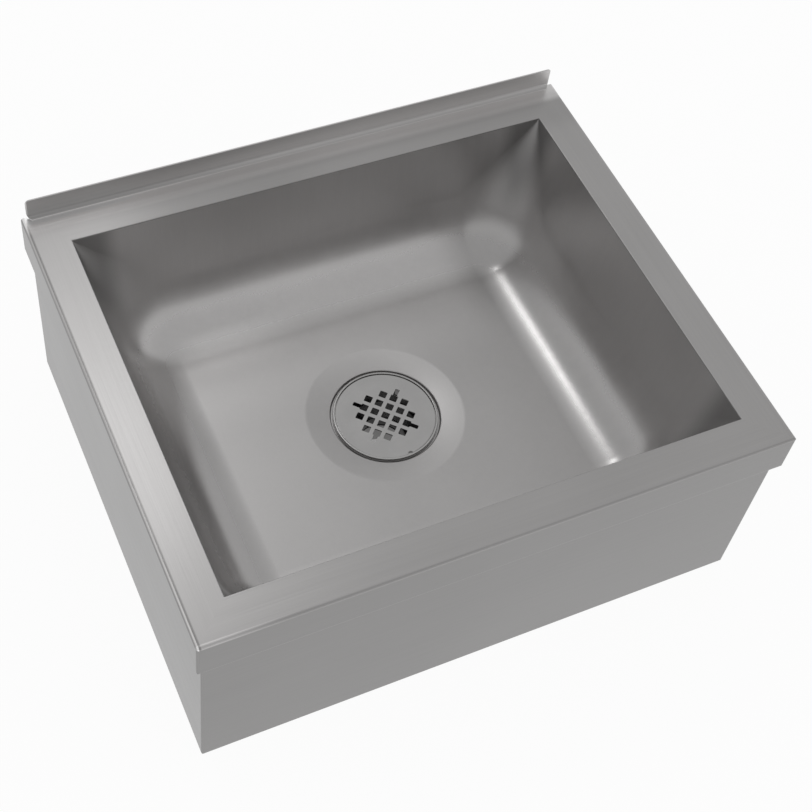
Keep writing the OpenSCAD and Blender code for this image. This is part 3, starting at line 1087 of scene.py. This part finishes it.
def cast_brass(name):
    """Rough cast brass, dulled in its hollows."""
    material, f = new_finish(name)
    place = f.place()
    pits = f.noise(f.stretch(place, 900.0, 900.0, 900.0), 3.0)
    cloud = f.noise(f.stretch(place, 60.0, 60.0, 60.0), 3.0)
    dull = f.ease(cloud, 0.45, 0.7)
    brass = tuple(colours().brass)
    tarnish = (brass[0] * 0.45, brass[1] * 0.42, brass[2] * 0.40, 1.0)
    f.surface(
        Base_Color=f.blend(dull, four(brass), tarnish),
        Metallic=1.0,
        Roughness=0.40 + 0.18 * pits + 0.1 * dull,
        Normal=f.relief(pits, 0.00015),
    )
    return material


def matt(name, base, scale, rough, depth, spread):
    """A matt moulded or pressed finish: its tooth's scale, roughness and depth, and how
    far its colour is spread."""
    material, f = new_finish(name)
    place = f.place()
    tooth = f.noise(f.stretch(place, scale, scale, scale), 3.0)
    cloud = f.noise(f.stretch(place, 50.0, 50.0, 50.0))
    half = spread / 2
    f.surface(
        Base_Color=f.shade(base, 1.0 - half + half * tooth + half * cloud),
        Roughness=rough - 0.05 + 0.1 * tooth,
        Normal=f.relief(tooth, depth),
    )
    return material


class SINK_OT_sheet_finish(bpy.types.Operator):
    """Finishes the rim, the apron and the corner angles in satin steel"""

    bl_idname = "sink.sheet_finish"
    bl_label = "Sheet finishes"

    def execute(self, context):
        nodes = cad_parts
        upright = satin_steel("angle_mill", 2, roughness=0.38, tone=0.74)
        # How it is grained, along which axis, on which sides, and its tone below the deck, a
        # painted shade that darkens the skirt and the apron
        for grained, along, sides, tone in (
            ("across", 0, ("front", "back"), 0.528),
            ("along", 1, ("left", "right"), 0.437),
        ):
            rim = satin_steel("rim_grained_" + grained, along, tone=tone, rim=True)
            apron = satin_steel("apron_grained_" + grained, along, tone=tone)
            for side in sides:
                dress(nodes["rim_" + side], rim)
                dress(nodes["apron_" + side], apron)
        for name in nodes:
            if name.startswith("post_"):
                dress(nodes[name], upright)
        return {"FINISHED"}


class SINK_OT_seal_finish(bpy.types.Operator):
    """Finishes the gasket, the washer, the sealing ring and the friction ring"""

    bl_idname = "sink.seal_finish"
    bl_label = "Seal finishes"

    def execute(self, context):
        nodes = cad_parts
        own = colours()
        rubber = matt("black_rubber", own.rubber, 700.0, 0.72, 0.00008, 0.5)
        dress(nodes["sink_gasket"], rubber)
        dress(nodes["tail_washer"], rubber)
        dress(nodes["face_seal"], matt("sealing_ring", own.sealant, 500.0, 0.6, 0.00006, 0.2))
        dress(nodes["friction_ring"], matt("pressed_fibre", own.fibre, 1200.0, 0.8, 0.0001, 0.5))
        return {"FINISHED"}


# ---- Stage ----


# The camera fitted to the photograph: metres, radians, mm, and shares of the picture
CAMERA_PLACE = (-0.52091, -0.84290, 1.50772)
CAMERA_TURN = (0.623403, -0.090856, -0.419469)
CAMERA_LENS = 69.184
CAMERA_SHIFT = (0.02919, -0.02438)

# Soft lamps: name, azimuth and elevation, width and height (all in degrees), radiance
LAMPS = (
    ("softbox_behind", 94, 60, 15, 8, 3.3),
    ("softbox_behind_low", 80, 48, 10, 8, 0.9),
)
LAMP_DISTANCE = 3.5
LAMP_TARGET = Vector((0, 0, 0.2))

# The floor's radii in metres: its first ring, and how far it reaches
FLOOR_RING = 3
FLOOR_REACH = 60


def softbox(name, azimuth, elevation, wide, tall, radiance):
    """A soft lamp that looks at the bowl's middle."""
    a, e = math.radians(azimuth), math.radians(elevation)
    away = Vector((math.cos(a) * math.cos(e), math.sin(a) * math.cos(e), math.sin(e)))
    bpy.ops.object.light_add(type="AREA", location=LAMP_TARGET + away * LAMP_DISTANCE)
    lamp = bpy.context.object
    lamp.name = name
    lamp.rotation_euler = away.to_track_quat("Z", "Y").to_euler()
    lamp.data.shape = "RECTANGLE"
    lamp.data.size = 2 * LAMP_DISTANCE * math.tan(math.radians(wide / 2))
    lamp.data.size_y = 2 * LAMP_DISTANCE * math.tan(math.radians(tall / 2))
    lamp.data.energy = radiance * math.pi * lamp.data.size * lamp.data.size_y


class SINK_OT_stage(bpy.types.Operator):
    """Sets the camera, the soft lamps, the pale floor and the surroundings"""

    bl_idname = "sink.stage"
    bl_label = "Stage"

    def execute(self, context):
        scene = context.scene
        put_down()
        bpy.ops.object.camera_add(location=CAMERA_PLACE, rotation=CAMERA_TURN)
        camera = context.object
        camera.name = "camera"
        camera.data.sensor_width = 36
        camera.data.lens = CAMERA_LENS
        camera.data.shift_x, camera.data.shift_y = CAMERA_SHIFT
        scene.camera = camera
        scene.view_settings.view_transform = "Standard"

        bpy.ops.mesh.primitive_circle_add(vertices=64, radius=FLOOR_RING, fill_type="NGON")
        floor = context.object
        floor.name = "floor"
        bpy.ops.object.mode_set(mode="EDIT")
        bpy.ops.mesh.select_all(action="SELECT")
        bpy.ops.mesh.inset(thickness=0.5)
        pick("EDGE", lambda edge: edge.is_boundary)
        ring_on(FLOOR_RING, 0, FLOOR_REACH, 0)
        bpy.ops.object.mode_set(mode="OBJECT")
        floor.location.z = -0.5 * MM
        take_up(floor)
        bpy.ops.object.transform_apply(location=True, rotation=True, scale=True)
        dress(floor, pale_floor("pale_floor"))
        surroundings(scene)
        for lamp in LAMPS:
            softbox(*lamp)
        return {"FINISHED"}


def seen_directly(f):
    """1 for rays from the camera, off metal or through glass, and 0 for the others."""
    rays = f.node("ShaderNodeLightPath").outputs
    total = Amount(f, rays["Is Camera Ray"]) + Amount(f, rays["Is Glossy Ray"])
    total = total + Amount(f, rays["Is Transmission Ray"])
    node = f.node("ShaderNodeMath", {"operation": "MINIMUM"}, [total, 1.0])
    return Amount(f, node.outputs[0])


def pale_floor(name):
    """A pale floor, white to the eye except under the drain, that keeps the object's shadow."""
    material, f = new_finish(name)
    place = f.place()
    speck = f.noise(f.stretch(place, 3.0, 3.0, 3.0))
    away = f.node("ShaderNodeVectorMath", {"operation": "LENGTH"}, [place]).outputs["Value"]
    # The white glow is cut back under the drain: a painted shadow
    glow_with_painted_shadow = f.ease(away, 140 * MM, 220 * MM, 0.22, 0.95)
    paper = f.node(
        "ShaderNodeBsdfDiffuse", None, {"Color": f.shade(colours().floor, 0.99 + 0.02 * speck)}
    )
    white = f.node("ShaderNodeEmission", None, {"Color": (1, 1, 1, 1), "Strength": 1.0})
    mixed = f.node(
        "ShaderNodeMixShader", None, [glow_with_painted_shadow * seen_directly(f), paper.outputs[0], white.outputs[0]]
    )
    f.node("ShaderNodeOutputMaterial", None, [mixed.outputs[0]])
    return material


def surroundings(scene):
    """Plain studio surroundings: pale near the horizon and grey overhead."""
    world = bpy.data.worlds.new("studio")
    scene.world = world
    world.use_nodes = True
    f = Finish(world.node_tree)
    direction = f.node("ShaderNodeTexCoord").outputs["Generated"]
    up = f.parts(direction)[2]
    grey = f.ease(up, 0.35, 0.8, 0.70, 0.575)
    shade = f.shade((1.0, 1.0, 1.0), grey)
    background = f.node("ShaderNodeBackground", None, {"Color": shade, "Strength": 1.0})
    f.node("ShaderNodeOutputWorld", None, [background.outputs[0]])


# ---- The add-on ----


class SINK_PT_panel(bpy.types.Panel):
    """Lists the steps in order, with the sizes and colours"""

    bl_idname = "SINK_PT_panel"
    bl_label = "Mop sink"
    bl_space_type = "VIEW_3D"
    bl_region_type = "UI"
    bl_category = "Mop sink"

    def draw(self, context):
        for step in STEPS:
            self.layout.operator(step.bl_idname)
        for group in GROUPS:
            sizes = getattr(context.scene, group)
            box = self.layout.box()
            for key in sizes.bl_rna.properties.keys():
                if key not in ("rna_type", "name"):
                    box.prop(sizes, key)


GROUPS = {
    "bowl_sizes": BowlSizes,
    "drain_sizes": DrainSizes,
    "strainer_sizes": StrainerSizes,
    "finish_colours": FinishColours,
}
STEPS = (
    SINK_OT_stage,
    SINK_OT_sheet_finish,
    SINK_OT_seal_finish,
    SINK_OT_bowl,
    SINK_OT_drain,
    SINK_OT_nuts,
    SINK_OT_outlet,
    SINK_OT_strainer,
)
CLASSES = (*GROUPS.values(), *STEPS, SINK_PT_panel)


def register():
    for each in CLASSES:
        bpy.utils.register_class(each)
    for name, group in GROUPS.items():
        setattr(bpy.types.Scene, name, PointerProperty(type=group))


def unregister():
    for name in GROUPS:
        delattr(bpy.types.Scene, name)
    for each in reversed(CLASSES):
        bpy.utils.unregister_class(each)


def main():
    """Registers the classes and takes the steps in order."""
    register()
    for step in STEPS:
        group, name = step.bl_idname.split(".")
        getattr(getattr(bpy.ops, group), name)()


if __name__ == "__main__":
    main()
